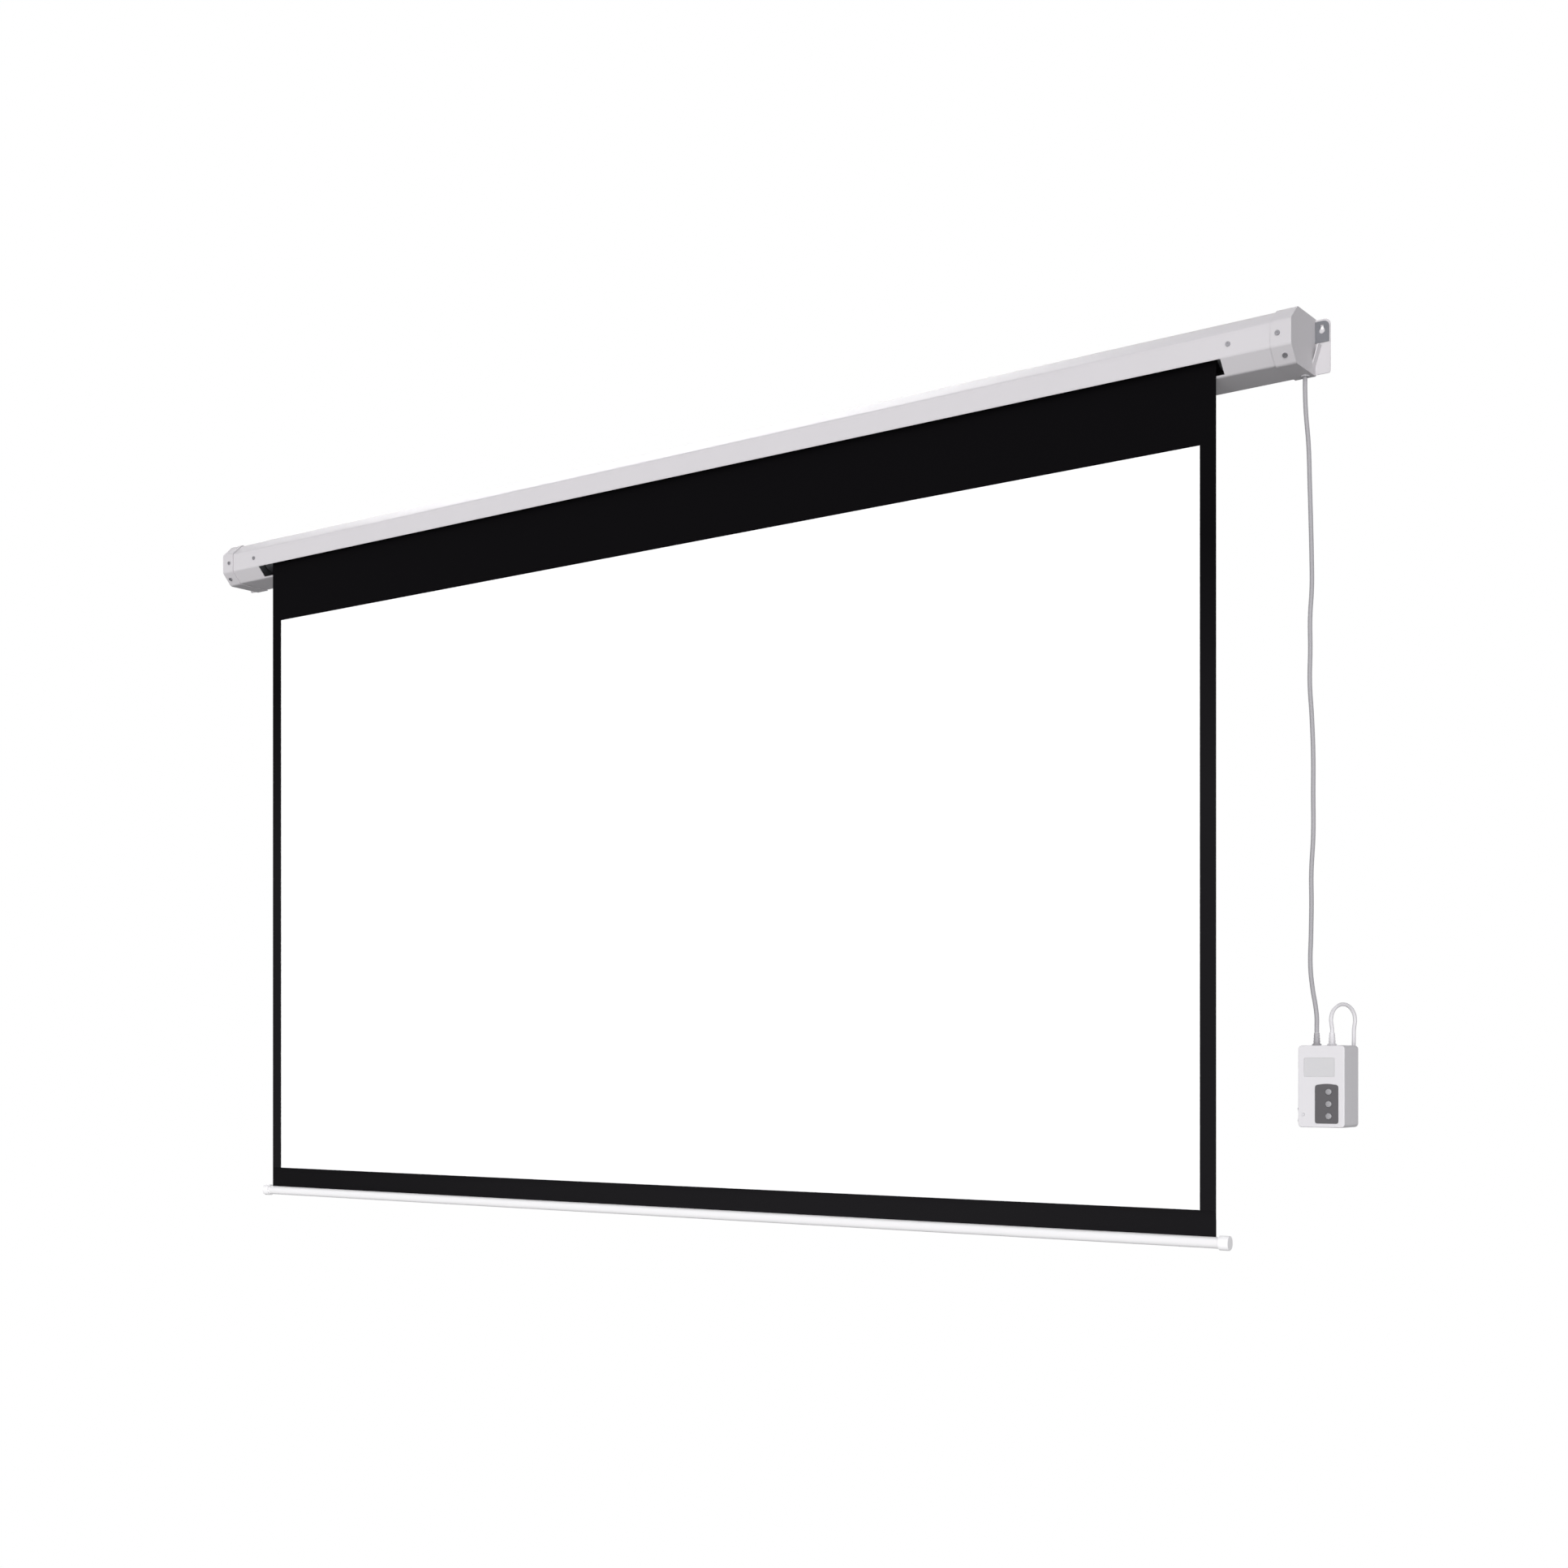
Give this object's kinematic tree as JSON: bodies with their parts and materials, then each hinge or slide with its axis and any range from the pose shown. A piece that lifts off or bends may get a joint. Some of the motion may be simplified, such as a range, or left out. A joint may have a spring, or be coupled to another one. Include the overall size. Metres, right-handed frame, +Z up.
{
  "type": "motorized projection screen",
  "caption": "Wall-hung motorized projection screen: a white picture sheet winds down out of a long case on a weighted bar, worked by buttons on a box hanging on its lead.",
  "frame": {"origin": "centre of the case's flat back, on the wall", "axes": "+X to the right as seen from the room, +Y into the wall, +Z up"},
  "size_m": [2.6548, 0.1085, 1.5031],
  "materials": {
    "coated_steel": "satin",
    "cap_plastic": "satin",
    "zinc_steel": "dull zinc plate",
    "dark_screw": "dark zinc plate",
    "motor_steel": "bright zinc plate",
    "roller_aluminium": "mill finish",
    "black_plastic": "moulded",
    "black_fabric": "matt coated cloth",
    "picture_fabric": "matt white picture area in a black border, black back",
    "bar_aluminium": "white powder coat",
    "bar_cap_plastic": "satin",
    "spline_plastic": "extruded",
    "lead_grey": "soft sheath",
    "grommet_nylon": "moulded",
    "mains_white": "soft sheath",
    "box_white": "fine grain",
    "panel_grey": "membrane",
    "button_grey": "satin",
    "label_sheet": "blank satin sheet",
    "lamp_grey": "clear tinted",
    "board_green": "lacquered laminate",
    "relay_blue": "moulded",
    "brass": "turned"
  },
  "bodies": {
    "screen": {"housing_shell": "coated_steel", "end_cap_left": "cap_plastic", "end_cap_right": "cap_plastic", "hanger_plate_left": "zinc_steel", "hanger_plate_right": "zinc_steel", "cap_screw_left_front": "dark_screw", "cap_screw_left_bevel": "dark_screw", "cap_screw_right_front": "dark_screw", "cap_screw_right_bevel": "dark_screw", "bracket_screw_left": "dark_screw", "bracket_screw_right": "dark_screw", "idler_bracket": "zinc_steel", "motor_bracket": "zinc_steel", "idler_pin": "zinc_steel", "motor_tube": "motor_steel", "motor_core": "zinc_steel", "motor_head": "black_plastic", "motor_screw_1": "zinc_steel", "motor_screw_2": "zinc_steel", "motor_lead_inner": "lead_grey", "lead_grommet": "grommet_nylon", "fabric_sheet": "picture_fabric", "box_cover": "box_white", "box_back": "box_white", "box_screw_upper": "dark_screw", "box_screw_lower": "dark_screw", "button_panel": "panel_grey", "label_plate": "label_sheet", "indicator_lamp": "lamp_grey", "circuit_board": "board_green", "terminal_block": "board_green", "relay_up": "relay_blue", "relay_down": "relay_blue", "motor_strain_relief": "lead_grey", "mains_strain_relief": "box_white", "motor_lead": "lead_grey", "mains_lead": "mains_white", "mains_coil": "mains_white", "mains_tail": "mains_white", "coil_tie": "black_plastic", "mains_plug": "mains_white"},
    "roller": {"roller_tube": "roller_aluminium", "fabric_roll": "black_fabric", "idler_plug": "black_plastic", "idler_bearing": "motor_steel", "limit_crown": "black_plastic", "output_shaft": "motor_steel", "drive_wheel": "black_plastic"},
    "bar": {"fabric_hem": "black_fabric", "hem_spline": "spline_plastic", "bottom_bar": "bar_aluminium", "bar_weight": "zinc_steel", "bar_cap_left": "bar_cap_plastic", "bar_cap_right": "bar_cap_plastic"},
    "up_button": {"button_up": "button_grey"},
    "stop_button": {"button_stop": "button_grey"},
    "down_button": {"button_down": "button_grey"},
    "upper_limit_screw": {"limit_screw_upper": "brass"},
    "lower_limit_screw": {"limit_screw_lower": "brass"}
  },
  "joints": [
    {"name": "screen_lift", "type": "slide", "parent": "screen", "child": "bar", "axis": [0, 0, 1], "range_m": [0, 1.386], "deforming": ["fabric_sheet"]},
    {"name": "roller_turn", "type": "hinge", "parent": "screen", "child": "roller", "pos_m": [0, -0.05904, 0], "axis": [-1, 0, 0], "range_deg": [0, 3020]},
    {"name": "up_press", "type": "slide", "parent": "screen", "child": "up_button", "axis": [0, 1, 0], "range_m": [0, 0.0015], "stiffness_N_per_m": 1000},
    {"name": "stop_press", "type": "slide", "parent": "screen", "child": "stop_button", "axis": [0, 1, 0], "range_m": [0, 0.0015], "stiffness_N_per_m": 1000},
    {"name": "down_press", "type": "slide", "parent": "screen", "child": "down_button", "axis": [0, 1, 0], "range_m": [0, 0.0015], "stiffness_N_per_m": 1000},
    {"name": "upper_limit_turn", "type": "hinge", "parent": "screen", "child": "upper_limit_screw", "pos_m": [1.159, -0.05233, -0.01229], "axis": [1, 0, 0], "range_deg": [-720, 720]},
    {"name": "lower_limit_turn", "type": "hinge", "parent": "screen", "child": "lower_limit_screw", "pos_m": [1.159, -0.06575, -0.01229], "axis": [1, 0, 0], "range_deg": [-720, 720]}
  ],
  "couplings": [
    {"joint": "roller_turn", "follows": "screen_lift", "rad_per_m": 38.023}
  ]
}
